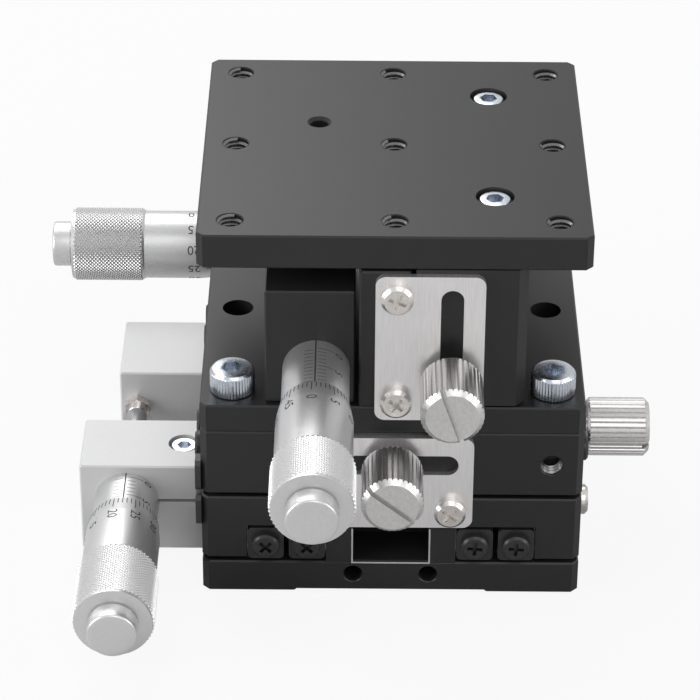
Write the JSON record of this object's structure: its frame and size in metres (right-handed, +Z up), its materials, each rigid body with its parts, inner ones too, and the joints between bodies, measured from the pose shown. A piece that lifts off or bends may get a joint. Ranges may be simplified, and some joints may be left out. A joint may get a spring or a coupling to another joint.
{
  "type": "linear translation stage",
  "caption": "Stacked three-axis crossed-roller translation stage with micrometer heads, slotted lock plates and thumb screws, and a tapped square table.",
  "frame": {"origin": "middle of the base's underside, on the bench face", "axes": "+Z up through the table, +Y to the back along the lower slide, +X to the right along the upper slide"},
  "size_m": [0.1018, 0.121, 0.065],
  "materials": {
    "black_anodised": "satin black anodised, lightly bead blasted",
    "clear_anodised": "pale matte clear anodised",
    "satin_chrome": "satin chrome",
    "nickel_knob": "nickel plated, turned",
    "brushed_plate": "bright brushed sheet",
    "nickel_screw": "nickel plated",
    "zinc_screw": "bright zinc plated, slightly blue",
    "black_screw": "black oxide",
    "hardened_steel": "ground hardened steel",
    "spring_steel": "drawn spring wire"
  },
  "bodies": {
    "base": {"base_block": "black_anodised", "y_inner_rails": "hardened_steel", "base_end_stops": "black_screw", "y_lock_plate": "brushed_plate", "y_lock_plate_screws": "nickel_screw", "y_micrometer_clamp": "clear_anodised", "y_clamp_screw": "zinc_screw", "base_bracket_screws": "zinc_screw", "y_micrometer_sleeve": "satin_chrome", "base_spring_pin": "hardened_steel", "y_return_spring": "spring_steel"},
    "y_table": {"middle_block": "black_anodised", "middle_rails": "hardened_steel", "middle_end_stops": "black_screw", "y_anvil_block": "clear_anodised", "y_anvil_pin": "nickel_screw", "middle_bracket_screws": "zinc_screw", "x_lock_plate": "brushed_plate", "x_lock_plate_screws": "nickel_screw", "x_micrometer_clamp": "clear_anodised", "x_clamp_screw": "zinc_screw", "x_micrometer_sleeve": "satin_chrome", "middle_spring_pins": "hardened_steel", "x_return_spring": "spring_steel"},
    "x_table": {"x_table_block": "black_anodised", "x_outer_rails": "hardened_steel", "x_table_end_stops": "black_screw", "x_anvil_block": "clear_anodised", "x_anvil_pin": "nickel_screw", "x_table_bracket_screws": "zinc_screw", "x_table_spring_pin": "hardened_steel", "z_base_plate": "black_anodised", "z_base_plate_screws": "zinc_screw", "z_column": "black_anodised", "z_fixed_rails": "hardened_steel", "z_lever_housing": "black_anodised", "z_lever_pin": "hardened_steel", "z_micrometer_sleeve": "satin_chrome", "z_lock_plate": "brushed_plate", "z_lock_plate_screws": "nickel_screw"},
    "z_table": {"z_slide_block": "black_anodised", "z_moving_rails": "hardened_steel", "top_plate": "black_anodised", "top_plate_screws": "zinc_screw", "z_lift_post": "hardened_steel"},
    "bell_crank": {"z_lever": "hardened_steel"},
    "y_cages": {"y_roller_cages": "hardened_steel"},
    "x_cages": {"x_roller_cages": "hardened_steel"},
    "z_cages": {"z_roller_cages": "hardened_steel"},
    "y_feed": {"y_spindle": "hardened_steel"},
    "x_feed": {"x_spindle": "hardened_steel"},
    "z_feed": {"z_spindle": "hardened_steel"},
    "y_drum": {"y_thimble": "satin_chrome"},
    "x_drum": {"x_thimble": "satin_chrome"},
    "z_drum": {"z_thimble": "satin_chrome"},
    "y_lock": {"y_lock_knob": "nickel_knob"},
    "x_lock": {"x_lock_knob": "nickel_knob"},
    "z_lock": {"z_lock_knob": "nickel_knob"}
  },
  "joints": [
    {"name": "y_slide", "type": "slide", "parent": "base", "child": "y_table", "axis": [0, 1, 0], "range_m": [-0.0068, 0.0062], "deforming": ["y_return_spring"]},
    {"name": "y_cage_slide", "type": "slide", "parent": "base", "child": "y_cages", "axis": [0, 1, 0], "range_m": [-0.0034, 0.0031]},
    {"name": "y_spindle_feed", "type": "slide", "parent": "base", "child": "y_feed", "axis": [0, 1, 0], "range_m": [-0.0068, 0.0062]},
    {"name": "y_thimble_spin", "type": "hinge", "parent": "y_feed", "child": "y_drum", "pos_m": [-0.0425, -0.02, 0.0105], "axis": [0, 1, 0], "range_deg": [-4896, 4464]},
    {"name": "x_slide", "type": "slide", "parent": "y_table", "child": "x_table", "axis": [1, 0, 0], "range_m": [-0.0065, 0.0065], "deforming": ["x_return_spring"]},
    {"name": "x_cage_slide", "type": "slide", "parent": "y_table", "child": "x_cages", "axis": [1, 0, 0], "range_m": [-0.00325, 0.00325]},
    {"name": "x_spindle_feed", "type": "slide", "parent": "y_table", "child": "x_feed", "axis": [1, 0, 0], "range_m": [-0.0065, 0.0065]},
    {"name": "x_thimble_spin", "type": "hinge", "parent": "x_feed", "child": "x_drum", "pos_m": [-0.02, 0.0425, 0.0227], "axis": [1, 0, 0], "range_deg": [-4680, 4680]},
    {"name": "z_slide", "type": "slide", "parent": "x_table", "child": "z_table", "axis": [0, 0, 1], "range_m": [0, 0.007]},
    {"name": "z_cage_slide", "type": "slide", "parent": "x_table", "child": "z_cages", "axis": [0, 0, 1], "range_m": [0, 0.0035]},
    {"name": "z_spindle_feed", "type": "slide", "parent": "x_table", "child": "z_feed", "axis": [0, 1, 0], "range_m": [0, 0.007]},
    {"name": "bell_crank_swing", "type": "hinge", "parent": "x_table", "child": "bell_crank", "pos_m": [-0.0119, -0.00271, 0.05121], "axis": [1, 0, 0], "range_deg": [0, 40.11]},
    {"name": "z_thimble_spin", "type": "hinge", "parent": "z_feed", "child": "z_drum", "pos_m": [-0.0119, -0.0289, 0.041], "axis": [0, 1, 0], "range_deg": [0, 5040]},
    {"name": "y_lock_turn", "type": "hinge", "parent": "y_table", "child": "y_lock", "pos_m": [0.03, 0, 0.0126], "axis": [-1, 0, 0], "range_deg": [0, 1152]},
    {"name": "x_lock_turn", "type": "hinge", "parent": "x_table", "child": "x_lock", "pos_m": [0, -0.03, 0.0248], "axis": [0, 1, 0], "range_deg": [0, 1152]},
    {"name": "z_lock_turn", "type": "hinge", "parent": "z_table", "child": "z_lock", "pos_m": [0.00885, -0.03, 0.04095], "axis": [0, 1, 0], "range_deg": [0, 1152]}
  ],
  "couplings": [
    {"joint": "y_cage_slide", "follows": "y_slide", "ratio": 0.5},
    {"joint": "y_spindle_feed", "follows": "y_slide", "ratio": 1},
    {"joint": "y_thimble_spin", "follows": "y_slide", "rad_per_m": 12566},
    {"joint": "x_cage_slide", "follows": "x_slide", "ratio": 0.5},
    {"joint": "x_spindle_feed", "follows": "x_slide", "ratio": 1},
    {"joint": "x_thimble_spin", "follows": "x_slide", "rad_per_m": 12566},
    {"joint": "z_cage_slide", "follows": "z_slide", "ratio": 0.5},
    {"joint": "z_spindle_feed", "follows": "z_slide", "ratio": 1},
    {"joint": "z_thimble_spin", "follows": "z_slide", "rad_per_m": 12566},
    {"joint": "bell_crank_swing", "follows": "z_slide", "rad_per_m": 100}
  ]
}
